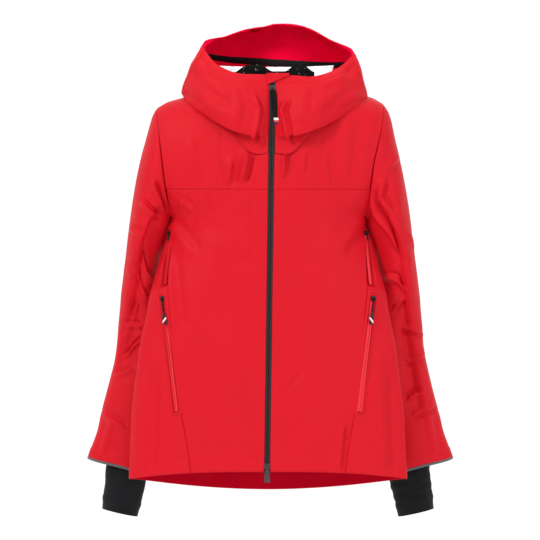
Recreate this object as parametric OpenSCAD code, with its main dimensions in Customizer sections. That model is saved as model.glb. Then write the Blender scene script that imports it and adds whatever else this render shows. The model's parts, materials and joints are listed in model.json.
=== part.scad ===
// Hardshell jacket with hood, two-way front zip, hand pockets, side vents and wrist gaiters.
// Millimetres. Front faces -Y, +Z up. The origin is the centre of the neck opening, where the hook of a
// coat hanger stands. "left" is the wearer's left (+X).

/* [Body] */
// Half width at the hem
hem_half_w = 265; // [250:1:280]
// Half width at the armpit
chest_half_w = 188; // [184:1:192]
// Half width across the shoulders
shoulder_half_w = 214; // [210:1:218]
// Distance from the origin forward to the front zip
front_depth = 90; // [86:1:94]
// Distance from the origin back to the back panel
back_depth = 85; // [80:1:90]
// Height of the front hem at the zip
hem_z = -719; // [-724:1:-714]
// Thickness of the shell fabric
fabric_t = 1.6; // [1.2:0.1:2]

/* [Front zip] */
// Lean of the zip from vertical
zip_lean = 0.78; // [0.6:0.02:1]
// Height of the upper slider
zip_top_z = 5; // [0:1:8]
// Height of the lower slider
zip_bottom_z = -708; // [-712:1:-704]
// Half width of the visible zip band
zip_band_half = 5.8; // [5.6:0.1:6.2]

/* [Pockets and vents] */
// Length of a hand pocket zip
pocket_len = 222; // [215:1:226]
// Length of a side vent zip
vent_len = 100; // [95:1:104]
// Radius of every pull's hinge pin
pin_r = 0.9; // [0.8:0.05:1]
// Radial clearance of every pull's eye
pin_gap = 0.08; // [0.05:0.01:0.1]

/* [Hidden] */
$fn = 32;
armpit_z = -235;
shoulder_z = -30;
shoulder_y = 8;
side_y = -38;
yoke_z = -186;
zip_mid_z = -355;

function lerp(a, b, t) = a + (b - a) * t;
function clamp01(t) = max(0, min(1, t));
function smooth(t) = let (c = clamp01(t)) c * c * (3 - 2 * c);
// Value at height z of a profile given as [z, value] pairs from the top down
function profile(p, z, i = 0) = i >= len(p) - 2 || z > p[i + 1][0]
    ? lerp(p[i][1], p[i + 1][1], smooth((p[i][0] - z) / (p[i][0] - p[i + 1][0])) * 0.35
        + clamp01((p[i][0] - z) / (p[i][0] - p[i + 1][0])) * 0.65)
    : profile(p, z, i + 1);
function power0(x, p) = pow(max(0, x), p);

// Body surface: a is the angle round the body (0 front centre, 90 the left side, 180 the back),
// r runs from 0 at the hem to 1 at the armpit and on to 2 at the shoulder line.
half_w_profile = [[armpit_z, chest_half_w], [-300, 204], [-400, 227], [-500, 246], [-620, 260],
    [-740, hem_half_w]];
function hem_height(a) = let (s = abs(sin(a)))
    cos(a) >= 0 ? hem_z - 17 * pow(s, 3) : hem_z - 37 + 20 * s * s;
function body(a, r) = let (s = sin(a), m = abs(s), front = cos(a) >= 0)
    r <= 1
    ? let (z = lerp(hem_height(a), armpit_z, r),
        yc = lerp(shoulder_y, side_y, smooth((armpit_z - z) / 185)),
        d = front ? -(front_depth + yc) * power0(1 - pow(m, 2.4), 0.6)
            : (back_depth - yc) * power0(1 - m * m, 0.65))
        [s * profile(half_w_profile, z), yc + d, z]
    : let (t = r - 1, e = sqrt(max(0, 1 - pow(2 * t - 1, 2))),
        top = shoulder_z + 50 * (1 - pow(m, 1.3)),
        mix = power0(1 - pow(m, 2.2), 0.6),
        f = lerp(70 * e, (front_depth + shoulder_y) * sqrt(max(0, 1 - pow(t, 5))), mix),
        b = lerp(62 * e, (back_depth - shoulder_y) * sqrt(max(0, 1 - pow(t, 4))), mix))
        [s * lerp(chest_half_w, shoulder_half_w, t), shoulder_y + (front ? -f - 0.4 : b + 0.4), lerp(armpit_z, top, t)];
// r at the yoke seam, at the front neckline and at the back neckline
function yoke_r(a) = 1 + (yoke_z - armpit_z) / (shoulder_z + 50 * (1 - pow(abs(sin(a)), 1.3)) - armpit_z);
function front_neck_r(a) = 1 + lerp(0.46, 1, smooth((abs(sin(a)) - 0.12) / 0.36));
function back_neck_r(a) = 1 + lerp(0.86, 1, smooth((abs(sin(a)) - 0.1) / 0.36));
// Angle of the pocket seam and of the back side seam
function pocket_a(r) = asin(lerp(0.55, 0.985, pow(clamp01(r), 1.15)));
function back_seam_a(r) = lerp(132, 97, pow(clamp01(r), 2));
function zip_edge_a(r, side) = let (z = body(0, r)[2], x = zip_x(z) + side * zip_band_half)
    asin(x / (r <= 1 ? profile(half_w_profile, z) : lerp(chest_half_w, shoulder_half_w, r - 1)));
function zip_x(z) = 3.5 + (z - zip_mid_z) * tan(zip_lean);

// Thin closed shell of thickness t under a grid of outer points; each row runs to the right as seen
// from outside, and rows go up. wrap joins the last column to the first.
function grid_at(g, i, j, wrap) = g[max(0, min(len(g) - 1, i))][
    wrap ? (j + len(g[0])) % len(g[0]) : max(0, min(len(g[0]) - 1, j))];
function grid_normal(g, i, j, wrap) = let (
    n = cross(grid_at(g, i, j + 1, wrap) - grid_at(g, i, j - 1, wrap),
        grid_at(g, i + 1, j, wrap) - grid_at(g, i - 1, j, wrap))) n / max(norm(n), 1e-6);
module shell(g, t = fabric_t, wrap = false) {
    n = len(g);
    m = len(g[0]);
    outer = [for (i = [0:n - 1]) for (j = [0:m - 1]) g[i][j]];
    inner = [for (i = [0:n - 1]) for (j = [0:m - 1]) g[i][j] - t * grid_normal(g, i, j, wrap)];
    k = n * m;
    cells = wrap ? m : m - 1;
    skin = [for (i = [0:n - 2]) for (j = [0:cells - 1])
        let (a = i * m + j, b = i * m + (j + 1) % m, c = b + m, d = a + m)
        each [[a, c, b], [a, d, c], [k + a, k + b, k + c], [k + a, k + c, k + d]]];
    ends = [for (j = [0:cells - 1]) let (a = j, b = (j + 1) % m, c = (n - 1) * m + b, d = (n - 1) * m + a)
        each [[a, b, k + b], [a, k + b, k + a], [d, k + c, c], [d, k + d, k + c]]];
    sides = wrap ? [] : [for (i = [0:n - 2])
        let (a = i * m, d = a + m, b = a + m - 1, c = d + m - 1)
        each [[a, k + a, k + d], [a, k + d, d], [b, k + c, k + b], [b, c, k + c]]];
    polyhedron(concat(outer, inner), concat(skin, ends, sides));
}
module mirrored(side) {
    if (side > 0) children();
    else mirror([1, 0, 0]) children();
}

red = [0.83, 0.06, 0.09];
dark_red = [0.62, 0.02, 0.08];
charcoal = [0.12, 0.12, 0.13];

// Slits in the cloth for the hand pocket zip and the vent zip
slit_half = 9.5;
module slits(side) {
    pocket_frame(side) translate([-slit_half, -9, -pocket_len - 8]) cube([2 * slit_half, 20, pocket_len + 12]);
    vent_frame(side) translate([-slit_half, -12, -vent_len - 8]) cube([2 * slit_half, 24, vent_len + 11]);
}

// Front panel from the zip to the pocket seam, up to the yoke seam
module front_panel(side) {
    rows = 14;
    cols = 6;
    color(red) difference() {
        front_panel_cloth(side, rows, cols);
        slits(side);
    }
}
module front_panel_cloth(side, rows, cols) {
    shell([for (i = [0:rows]) let (k = i / rows)
        [for (j = [0:cols]) let (
            lower = k * 1.2 <= 1,
            r0 = lower ? k * 1.2 : 1,
            zip_a = side * zip_edge_a(r0, side),
            seam_a = (r0 < 1 ? pocket_a(r0) : 88.5) - 0.2,
            a = side * lerp(zip_a, seam_a, side > 0 ? j / cols : 1 - j / cols),
            r = lower ? r0 : lerp(1, yoke_r(a) - 0.003, (k * 1.2 - 1) / 0.2))
            body(a, r)]]);
}
module front_yoke(side) {
    rows = 9;
    cols = 6;
    color(red) shell([for (i = [0:rows]) [for (j = [0:cols]) let (
        zip_a = side * zip_edge_a(1.3, side),
        a = side * lerp(zip_a, 88.5, side > 0 ? j / cols : 1 - j / cols),
        r = lerp(yoke_r(a) + 0.003, front_neck_r(a), 1 - pow(1 - i / rows, 2)))
        body(a, r)]]);
}
module side_panel(side) {
    color(red) difference() {
        side_panel_cloth(side, 12, 6);
        slits(side);
    }
}
module side_panel_cloth(side, rows, cols) {
    shell([for (i = [0:rows]) let (r = i / rows * 0.985) [for (j = [0:cols]) let (
        u = side > 0 ? j / cols : 1 - j / cols)
        body(side * lerp(pocket_a(r) + 0.2, back_seam_a(r) - 0.2, u), r)]]);
}
module back_panel() {
    rows = 14;
    cols = 12;
    color(red) shell([for (i = [0:rows]) let (k = i / rows * 1.2, lower = k <= 1, r0 = lower ? k : 1)
        [for (j = [0:cols]) let (
            edge = lower ? back_seam_a(r0) : 91.5,
            a = lerp(edge + 0.2, 360 - edge - 0.2, j / cols),
            r = lower ? r0 : lerp(1, yoke_r(a) - 0.003, (k - 1) / 0.2))
            body(a, r)]]);
}
module back_yoke() {
    rows = 9;
    cols = 12;
    color(red) shell([for (i = [0:rows]) [for (j = [0:cols]) let (
        a = lerp(91.5, 268.5, j / cols),
        r = lerp(yoke_r(a) + 0.003, back_neck_r(a), 1 - pow(1 - i / rows, 2)))
        body(a, r)]]);
}

// Hood: profiles from the mouth rim, over the bulge, to the neck seam, as [half width, y, z].
// The first station is beside the zip and the last is the centre of the back.
hood_stations = [
    [[0, -89, 30], [0, -90, 0], [0, -90, -40], [0, -90, -80], [0, -90, -98], [0, -89, -110]],
    [[37, -88, 30], [38, -98, 0], [40, -107, -40], [44, -108, -82], [42, -98, -92], [40, -92, -112]],
    [[68, -82, 30], [72, -102, -5], [80, -110, -40], [88, -100, -68], [80, -90, -70], [72, -90, -75]],
    [[97, -64, 39], [110, -84, 5], [124, -84, -28], [132, -66, -44], [118, -64, -38], [96, -69, -36]],
    [[123, -42, 56], [142, -56, 20], [158, -48, -8], [162, -34, -22], [140, -31, -6], [104, -35, -5]],
    [[143, -5, 90], [156, -8, 68], [170, -4, 30], [178, 8, -2], [160, 12, 2], [98, 10, 4]],
    [[97, 26, 105], [120, 60, 90], [146, 84, 40], [138, 88, -10], [112, 78, -12], [84, 40, 4]],
    [[52, 46, 122], [72, 88, 104], [88, 122, 48], [84, 124, -30], [66, 102, -42], [44, 66, -6]],
    [[0, 54, 130], [0, 96, 112], [0, 132, 50], [0, 134, -40], [0, 104, -56], [0, 67, -12]]];
// Points of a Catmull-Rom curve through list p at parameter t, from 0 to the last index
function curve(p, t) = let (n = len(p), i = min(n - 2, floor(t)), f = t - i,
    a = p[max(0, i - 1)], b = p[i], c = p[i + 1], d = p[min(n - 1, i + 2)])
    0.5 * (2 * b + (c - a) * f + (2 * a - 5 * b + 4 * c - d) * f * f + (3 * b - a - 3 * c + d) * f * f * f);
// Point of the hood on one side, at station s (0 to 8) and profile parameter v (0 rim to 5 neck)
function hood_half(s, v) = curve([for (st = hood_stations) curve(st, v)], s);
// The hood hangs a little to the left and lower on that side
function hood_skew(p) = let (k = clamp01((p[2] + 100) / 190), w = smooth(norm([p[0]]) / 60))
    [p[0] + lerp(zip_x(p[2]), 6 + 14 * k, w), p[1], p[2] - 0.052 * p[0] * k];
function hood(side, s, v) = let (h = hood_half(s, v)) hood_skew([side * h[0], h[1], h[2]]);
cheek_end = 4.6;
module hood_cheek(side) {
    rows = 10;
    cols = 9;
    color(red) shell([for (i = [0:rows]) let (v = 5 - i / rows * 5)
        [for (j = [0:cols]) let (u = side > 0 ? j / cols : 1 - j / cols,
            s = cheek_end * u, p = hood(side, s, v))
            u == 0 ? p + [side * zip_band_half, 0, 0] : p]]);
}
module hood_crown() {
    rows = 10;
    cols = 16;
    half = 8 - cheek_end - 0.02;
    color(red) shell([for (i = [0:rows]) let (v = 5 - i / rows * 5)
        [for (j = [0:cols]) let (u = (j / cols * 2 - 1) * half)
            hood(u > 0 ? -1 : 1, 8 - abs(u), v)]]);
}
// Layers inside the hood: strips that hang inward from the rim, drop is the depth below it
function inside(side, s, drop, gap) = let (p = hood(side, s, 0))
    p + [-side * drop * 0.12 * min(1, (8 - s)), 2 - gap + drop * 0.12, -drop];
module inner_strip(from_drop, to_drop, gap, rows, t) {
    cols = 12;
    half = 8 - cheek_end - 0.15;
    shell([for (i = [0:rows]) [for (j = [0:cols]) let (u = -(j / cols * 2 - 1) * half)
        inside(u > 0 ? -1 : 1, 8 - abs(u), lerp(to_drop, from_drop, i / rows), gap)]], t);
}
module hood_brim_facing() { color(dark_red) inner_strip(7, 62, 7, 4, 1); }
module hood_band() { color(charcoal) inner_strip(63, 70, 7, 1, 1); }
module neck_lining() {
    rows = 2;
    cols = 12;
    color("gainsboro") shell([for (i = [0:rows]) [for (j = [0:cols]) let (a = lerp(62, -62, j / cols))
        [8 + 84 * sin(a), 4 + 56 * cos(a), lerp(-4, 42, i / rows)]]], 1);
}
module chin_guard() {
    rows = 2;
    cols = 8;
    color(charcoal) shell([for (i = [0:rows]) [for (j = [0:cols]) let (x = lerp(-56, 80, j / cols))
        [x, -72 + 14 * pow((x - 12) / 68, 2), lerp(-60, 28 + 10 * cos(x * 2.2), i / rows)]]], 1.2);
}
module zip_garage() {
    color(red) translate([0, -front_depth - 3.2, 0]) rotate([90, 0, 0])
        linear_extrude(1) polygon([[-1, 14], [8, 14], [30, 27], [34, 31], [-1, 31]]);
}
module hanger_loop() {
    color(charcoal) translate([0, 53, -25]) rotate([90, 0, 0]) {
        difference() {
            cylinder(r = 22, h = 2, center = true, $fn = 48);
            cylinder(r = 18, h = 3, center = true, $fn = 48);
        }
        translate([-22, 20, -1]) cube([44, 8, 2]);
    }
}
module wind_flap() {
    color(dark_red) zip_frame() translate([-20, 5.5, -1]) cube([40, 1, 700]);
}

// Front zip, drawn along +Z from the lower slider and leaned into place
module zip_frame() {
    translate([zip_x(zip_bottom_z), -front_depth, zip_bottom_z]) rotate([0, zip_lean, 0]) children();
}
zip_len = (zip_top_z - zip_bottom_z) / cos(zip_lean);
module zip_tape(side) {
    color(charcoal) zip_frame() mirrored(side) translate([1, 2.6, -12]) cube([6, 0.5, zip_len + 20]);
}
module zip_teeth(side) {
    color(charcoal) zip_frame() mirrored(side) translate([0.6, -0.2, -10]) cube([2.8, 2.5, zip_len + 15]);
}
module zip_stops() {
    color("dimgray") zip_frame() for (side = [-1, 1]) mirrored(side)
        translate([0.6, -0.4, zip_len + 9.5]) cube([3, 2.3, 4]);
}
module zip_bottom_pins() {
    color("dimgray") zip_frame() for (side = [-1, 1]) mirrored(side)
        translate([0.6, -0.4, -14]) cube([3, 2.3, 3.5]);
}
// Slider round the teeth: outer and inner plates, a thin web between the tooth rows, two ears and a pin.
// Its centre is at the origin and the outer face looks to -Y.
pin_y = -4.4;
module slider(w, h) {
    color("dimgray") {
        hull() for (z = [-1, 1]) translate([-w / 2, -2.2, z * h * 0.3 - h * 0.2]) cube([w, 1.6, h * 0.4]);
        translate([-w / 2, 3.5, -h / 2]) cube([w, 1.2, h]);
        translate([-0.3, -1, -h / 2]) cube([0.6, 4.7, h]);
        for (x = [-3.2, 2]) translate([x, -5.6, -1.3]) cube([1.2, 4.2, 2.6]);
        translate([0, pin_y, 0]) rotate([0, 90, 0]) cylinder(r = pin_r, h = 5.2, center = true);
    }
}
// Eye of a pull round the pin, 3.4 wide, with a lug that reaches down
module pull_eye(drop) {
    difference() {
        union() {
            translate([0, pin_y, 0]) rotate([0, 90, 0]) cylinder(r = 1.9, h = 3.4, center = true);
            translate([-1.7, pin_y - 0.7, -drop]) cube([3.4, 1.4, drop - 1]);
        }
        translate([0, pin_y, 0]) rotate([0, 90, 0]) cylinder(r = pin_r + pin_gap, h = 5, center = true);
    }
}
module tapered_tab(w_top, w_low, z_top, z_low, t) {
    translate([0, pin_y + t / 2, 0]) rotate([90, 0, 0]) linear_extrude(t)
        polygon([[-w_top / 2, z_top], [w_top / 2, z_top], [w_low / 2, z_low], [-w_low / 2, z_low]]);
}
module at_upper() { zip_frame() translate([0, 0, zip_len]) children(); }
module upper_slider() { at_upper() slider(11, 10); }
module upper_pull() {
    color("black") at_upper() {
        pull_eye(6);
        tapered_tab(9, 8, -6, -58, 1.6);
    }
}
module upper_pull_tip() { color("gray") at_upper() tapered_tab(8, 8, -58, -68, 2.2); }
module lower_slider() { zip_frame() slider(11, 10); }
module lower_pull() {
    color("gray") zip_frame() {
        pull_eye(7);
        tapered_tab(7, 12, -7, -30, 1.4);
    }
}

// Hand pocket zip, drawn along -Z from its top and laid on the left front; vent zip the same way
pocket_top = [200.5, -64.5, -383];
pocket_turn = [-1.93, 7.88, 16];
vent_top = [187, -22.1, -262];
vent_turn = [-16.2, 8.9, 44];
module pocket_frame(side) { mirrored(side) translate(pocket_top) rotate(pocket_turn) children(); }
module vent_frame(side) { mirrored(side) translate(vent_top) rotate(vent_turn) children(); }
module small_zip(length) {
    color(charcoal) {
        for (x = [0.5, -3.3]) translate([x, 0, -length]) cube([2.8, 1.9, length]);
        for (x = [0.9, -7.9]) translate([x, 1.9, -length]) cube([7, 0.6, length]);
    }
}
module pocket_zip(side) { pocket_frame(side) small_zip(pocket_len + 6); }
module pocket_welt(side) {
    color([1, 0.25, 0.3]) pocket_frame(side) for (x = [3.7, -8.7])
        translate([x, 0.4, -pocket_len - 6]) cube([5, 1.2, pocket_len + 6]);
}
module pocket_bag(side) {
    color("silver") mirrored(side) hull() {
        translate([105, -60, -640]) cube([62, 1.5, 20]);
        translate([105, -60, -410]) cube([82, 1.5, 20]);
    }
}
module pocket_slider(side) { pocket_frame(side) translate([0, 0, -9]) slider(8, 9); }
module pocket_pull(side) {
    color("black") pocket_frame(side) translate([0, 0, -9]) {
        pull_eye(5);
        tapered_tab(2.4, 2.4, -5, -18, 1.4);
        tapered_tab(6, 8.5, -18, -38, 2.4);
    }
}
module vent_zip(side) { vent_frame(side) small_zip(vent_len + 6); }
module vent_slider(side) {
    vent_frame(side) translate([0, 0, -6]) {
        slider(8, 9);
        color("black") translate([-2, -3.4, -16]) cube([4, 1.2, 13]);
    }
}

// Sleeve rings: outer point, inner point (x, z), centre y, front and back half depth
sleeve_rings = [
    [[214, -30], [188, -235], 8, 70, 62],
    [[224, -49], [190, -243], 8, 71, 63],
    [[236, -92], [193, -252], 10, 72, 66],
    [[250, -150], [198, -266], 13, 73, 70],
    [[262, -215], [203, -284], 17, 74, 72],
    [[274, -300], [207, -316], 28, 74, 74],
    [[284, -368], [206, -368], 46, 70, 70],
    [[291, -440], [194, -440], 58, 58, 62],
    [[297, -500], [190, -506], 62, 55, 58],
    [[310, -560], [192, -576], 62, 52, 54],
    [[325, -620], [198, -646], 60, 47, 48],
    [[334, -665], [204, -696], 58, 43, 43],
    [[341, -702], [208, -738], 56, 40, 40]];
function ring_at(k) = [curve([for (r = sleeve_rings) r[0]], k), curve([for (r = sleeve_rings) r[1]], k),
    curve([for (r = sleeve_rings) r[2]], k), curve([for (r = sleeve_rings) r[3]], k),
    curve([for (r = sleeve_rings) r[4]], k)];
// Point of the left sleeve at ring k and angle p (0 outer edge, 90 the front, 180 the inner edge)
function sleeve(k, p, shrink = 0) = let (r = ring_at(k), m = (r[0] + r[1]) / 2, h = (r[0] - r[1]) / 2,
    f = 1 - shrink / norm(h), q = m + h * cos(p) * f, d = (sin(p) > 0 ? r[3] : r[4]) - shrink)
    [q[0], r[2] - d * sin(p), q[1]];
elbow_k = 6.6;
module sleeve_tube(side, k0, k1, rows, t = fabric_t, shrink = 0) {
    cols = 18;
    mirrored(side) shell([for (i = [0:rows]) let (k = lerp(k1, k0, i / rows))
        [for (j = [0:cols - 1]) sleeve(k, -360 * j / cols, shrink)]], t, true);
}
module sleeve_upper(side) { color(red) sleeve_tube(side, 0.03, elbow_k - 0.006, 9); }
module sleeve_forearm(side) { color(red) sleeve_tube(side, elbow_k + 0.006, 12, 9); }
module sleeve_binding(side) { color("gray") sleeve_tube(side, 12.01, 12.12, 1); }
// Knitted wrist gaiter, from inside the sleeve hem to below it
gaiter_top = [269, 50, -700];
gaiter_end = [285, 42, -798];
module wrist_gaiter(side) {
    rows = 3;
    cols = 16;
    color([0.06, 0.06, 0.07]) mirrored(side) shell([for (i = [0:rows])
        let (c = lerp(gaiter_end, gaiter_top, i / rows), w = lerp(36, 43, i / rows))
        [for (j = [0:cols - 1]) let (p = -360 * j / cols)
            c + [w * cos(p) * 0.97, -24 * sin(p), w * cos(p) * 0.22]]], 1.8, true);
}

front_panel(1);  // front_panel_left
front_panel(-1);  // front_panel_right
front_yoke(1);  // front_yoke_left
front_yoke(-1);  // front_yoke_right
side_panel(1);  // side_panel_left
side_panel(-1);  // side_panel_right
back_panel();
back_yoke();
hood_cheek(1);  // hood_cheek_left
hood_cheek(-1);  // hood_cheek_right
hood_crown();
hood_brim_facing();
hood_band();
neck_lining();
chin_guard();
zip_garage();
hanger_loop();
wind_flap();
zip_tape(1);  // zip_tape_left
zip_tape(-1);  // zip_tape_right
zip_teeth(1);  // zip_teeth_left
zip_teeth(-1);  // zip_teeth_right
zip_stops();
zip_bottom_pins();
upper_slider();
upper_pull();
upper_pull_tip();
lower_slider();
lower_pull();
pocket_zip(1);  // pocket_zip_left
pocket_zip(-1);  // pocket_zip_right
pocket_welt(1);  // pocket_welt_left
pocket_welt(-1);  // pocket_welt_right
pocket_bag(1);  // pocket_bag_left
pocket_bag(-1);  // pocket_bag_right
pocket_slider(1);  // pocket_slider_left
pocket_slider(-1);  // pocket_slider_right
pocket_pull(1);  // pocket_pull_left
pocket_pull(-1);  // pocket_pull_right
vent_zip(1);  // vent_zip_left
vent_zip(-1);  // vent_zip_right
vent_slider(1);  // vent_slider_left
vent_slider(-1);  // vent_slider_right
sleeve_upper(1);  // sleeve_upper_left
sleeve_upper(-1);  // sleeve_upper_right
sleeve_forearm(1);  // sleeve_forearm_left
sleeve_forearm(-1);  // sleeve_forearm_right
sleeve_binding(1);  // sleeve_binding_left
sleeve_binding(-1);  // sleeve_binding_right
wrist_gaiter(1);  // wrist_gaiter_left
wrist_gaiter(-1);  // wrist_gaiter_right
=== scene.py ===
import json
import math
import bpy
import numpy as np
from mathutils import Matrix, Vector


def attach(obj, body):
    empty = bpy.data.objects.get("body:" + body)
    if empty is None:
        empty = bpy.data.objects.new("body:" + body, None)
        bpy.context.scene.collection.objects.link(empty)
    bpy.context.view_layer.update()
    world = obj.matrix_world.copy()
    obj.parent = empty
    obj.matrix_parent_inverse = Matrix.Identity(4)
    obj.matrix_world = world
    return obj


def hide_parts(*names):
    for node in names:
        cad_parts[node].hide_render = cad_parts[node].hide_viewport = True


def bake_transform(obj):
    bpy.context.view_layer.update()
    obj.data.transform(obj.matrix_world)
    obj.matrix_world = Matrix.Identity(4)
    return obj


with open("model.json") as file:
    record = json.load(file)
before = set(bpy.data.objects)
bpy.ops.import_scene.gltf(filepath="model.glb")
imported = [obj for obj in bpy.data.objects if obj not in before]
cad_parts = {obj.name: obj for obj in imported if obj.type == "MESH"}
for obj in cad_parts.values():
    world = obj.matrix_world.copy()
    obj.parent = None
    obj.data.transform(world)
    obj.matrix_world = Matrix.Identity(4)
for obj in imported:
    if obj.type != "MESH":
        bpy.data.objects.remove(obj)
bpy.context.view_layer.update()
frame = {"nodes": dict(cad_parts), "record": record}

# Hooded hardshell jacket. Metres, front towards -Y, +Z up, "left" is the wearer's left (+X).
JOINTS = {j["name"]: j for j in frame["record"]["behaviour"]["joints"]}
MM = 0.001

# ---------------------------------------------------------------- driving dimensions, in millimetres
HEM_HALF_W, CHEST_HALF_W, SHOULDER_HALF_W = 265.0, 188.0, 214.0
FRONT_DEPTH, BACK_DEPTH = 90.0, 85.0
HEM_Z, ARMPIT_Z, SHOULDER_Z, YOKE_Z = -719.0, -235.0, -30.0, -186.0
SHOULDER_Y, SIDE_Y = 8.0, -38.0
ZIP_BAND_HALF = 5.6    # half the width of the zip that the shell leaves open
SHEET_T = 0.9          # thickness of the shell fabric

lower = JOINTS["lower_pull_swing"]["pos_m"]
upper = JOINTS["upper_pull_swing"]["pos_m"]
ZIP_DIR = np.array(JOINTS["upper_zip_slide"]["axis"])
ZIP_LEAN = ZIP_DIR[0] / ZIP_DIR[2]


def zip_x(z):
    """Zip centre line in millimetres at height z."""
    return lower[0] / MM + (z - lower[2] / MM) * ZIP_LEAN


def smooth(t):
    t = np.clip(t, 0.0, 1.0)
    return t * t * (3 - 2 * t)


def lerp(a, b, t):
    return a + (b - a) * t


def bell(d, w):
    return np.exp(-(d / w) ** 2)


# ---------------------------------------------------------------- base surfaces, in millimetres
WIDTHS = [(ARMPIT_Z, CHEST_HALF_W), (-300, 204), (-400, 227), (-500, 246), (-620, 260), (-740, HEM_HALF_W)]


def half_width(z):
    z = np.asarray(z, float)
    out = np.full(z.shape, float(WIDTHS[0][1]))
    for (z0, w0), (z1, w1) in zip(WIDTHS, WIDTHS[1:]):
        t = np.clip((z0 - z) / (z0 - z1), 0, 1)
        value = lerp(w0, w1, smooth(t) * 0.35 + t * 0.65)
        out = np.where(z <= z0, value, out)
    return out


def hem_height(a):
    s = np.abs(np.sin(a))
    return np.where(np.cos(a) >= 0, HEM_Z - 17 * s ** 3, HEM_Z - 47 + 30 * s * s)


def body(a, r):
    """Torso surface: a is the angle from the front centre, r 0 at the hem, 1 at the armpit, 2 on top."""
    a, r = np.broadcast_arrays(np.asarray(a, float), np.asarray(r, float))
    s = np.sin(a)
    m = np.abs(s)
    front = np.cos(a) >= 0
    z = lerp(hem_height(a), ARMPIT_Z, np.minimum(r, 1))
    yc = lerp(SHOULDER_Y, SIDE_Y, smooth((ARMPIT_Z - z) / 185))
    low_d = np.where(front, -(FRONT_DEPTH + yc) * np.maximum(0, 1 - m ** 2.4) ** 0.6,
                     (BACK_DEPTH - yc) * np.maximum(0, 1 - m * m) ** 0.65)
    low = np.stack([s * half_width(z), yc + low_d, z], -1)
    t = np.clip(r - 1, 0, 1)
    e = np.sqrt(np.maximum(0, 1 - (2 * t - 1) ** 2))
    mix = np.maximum(0, 1 - m ** 2.2) ** 0.6
    f = lerp(70 * e, (FRONT_DEPTH + SHOULDER_Y) * np.sqrt(np.maximum(0, 1 - t ** 5)), mix)
    b = lerp(62 * e, (BACK_DEPTH - SHOULDER_Y) * np.sqrt(np.maximum(0, 1 - t ** 4)), mix)
    high = np.stack([s * lerp(CHEST_HALF_W, SHOULDER_HALF_W, t), SHOULDER_Y + np.where(front, -f, b),
                     lerp(ARMPIT_Z, top_z(a), t)], -1)
    return np.where((r <= 1)[..., None], low, high)


def top_z(a):
    return SHOULDER_Z + 50 * (1 - np.abs(np.sin(a)) ** 1.3)


def r_at_height(a, z):
    return 1 + (z - ARMPIT_Z) / (top_z(a) - ARMPIT_Z)


def front_neck_r(a):
    return 1 + lerp(0.46, 1.0, smooth((np.abs(np.sin(a)) - 0.12) / 0.36))


def back_neck_r(a):
    return 1 + lerp(0.86, 1.0, smooth((np.abs(np.sin(a)) - 0.1) / 0.36))


def pocket_a(r):
    return np.arcsin(lerp(0.55, 0.985, np.clip(r, 0, 1) ** 1.15))


def back_seam_a(r):
    return np.radians(lerp(132, 97, np.clip(r, 0, 1) ** 2))


HOOD = np.array([
    [[0, -89, 30], [0, -90, 0], [0, -90, -40], [0, -90, -80], [0, -90, -98], [0, -90, -118]],
    [[37, -88, 30], [38, -98, 0], [40, -108, -40], [44, -112, -84], [42, -93, -80], [40, -93, -116]],
    [[68, -82, 30], [72, -102, -5], [80, -112, -40], [88, -105, -70], [80, -88, -62], [72, -90, -75]],
    [[97, -64, 39], [110, -84, 5], [124, -86, -28], [132, -69, -46], [118, -60, -34], [96, -69, -36]],
    [[123, -42, 56], [142, -56, 20], [158, -48, -8], [162, -34, -22], [140, -31, -6], [104, -35, -5]],
    [[143, -5, 90], [156, -8, 68], [170, -4, 30], [178, 8, -2], [160, 12, 2], [98, 10, 4]],
    [[97, 26, 105], [120, 60, 90], [146, 84, 40], [138, 88, -10], [112, 78, -12], [84, 40, 4]],
    [[52, 46, 122], [72, 88, 104], [88, 122, 48], [84, 124, -30], [66, 102, -42], [44, 66, -6]],
    [[0, 54, 130], [0, 96, 112], [0, 132, 50], [0, 134, -40], [0, 104, -56], [0, 67, -12]]], float)


def catmull_rom(a, b, c, d, f):
    """Point at f (0 to 1) between b and c of a smooth curve through a, b, c and d."""
    return 0.5 * (2 * b + (c - a) * f + (2 * a - 5 * b + 4 * c - d) * f ** 2
                  + (3 * b - a - 3 * c + d) * f ** 3)


def curve(points, t):
    """Smooth curve through points (first axis) at parameters t; extra axes of points ride along."""
    n = len(points)
    i = np.clip(np.floor(t).astype(int), 0, n - 2)
    f = (t - i).reshape(t.shape + (1,) * (points.ndim - 1))
    return catmull_rom(*(points[np.clip(i + k, 0, n - 1)] for k in (-1, 0, 1, 2)), f)


def hood(side, s, v):
    """Hood surface: s is the station from zip (0) to back (8), v the place from rim (0) to neck (5)."""
    s, v = np.broadcast_arrays(np.asarray(s, float), np.asarray(v, float))
    profiles = curve(HOOD, s.ravel())                      # one profile for each point, its places, xyz
    i = np.clip(np.floor(v.ravel()).astype(int), 0, 4)
    f = (v.ravel() - i)[:, None]
    rows = np.arange(len(i))
    h = catmull_rom(*(profiles[rows, np.clip(i + k, 0, 5)] for k in (-1, 0, 1, 2)), f).reshape(s.shape + (3,))
    x, y, z = side * h[..., 0], h[..., 1], h[..., 2]
    peak = smooth((s - 4.6) / 2.4) * smooth((1.6 - v) / 1.6)
    z = z + lerp(6.0, 13.0, smooth(x / 50 + 0.5)) * peak     # the back of the rim stands a little higher
    k = np.clip((z + 100) / 190, 0, 1)
    w = smooth(np.abs(x) / 60)
    return np.stack([x + lerp(zip_x(z), 6 + 14 * k, w), y, z - 0.052 * x * k], -1)


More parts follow.
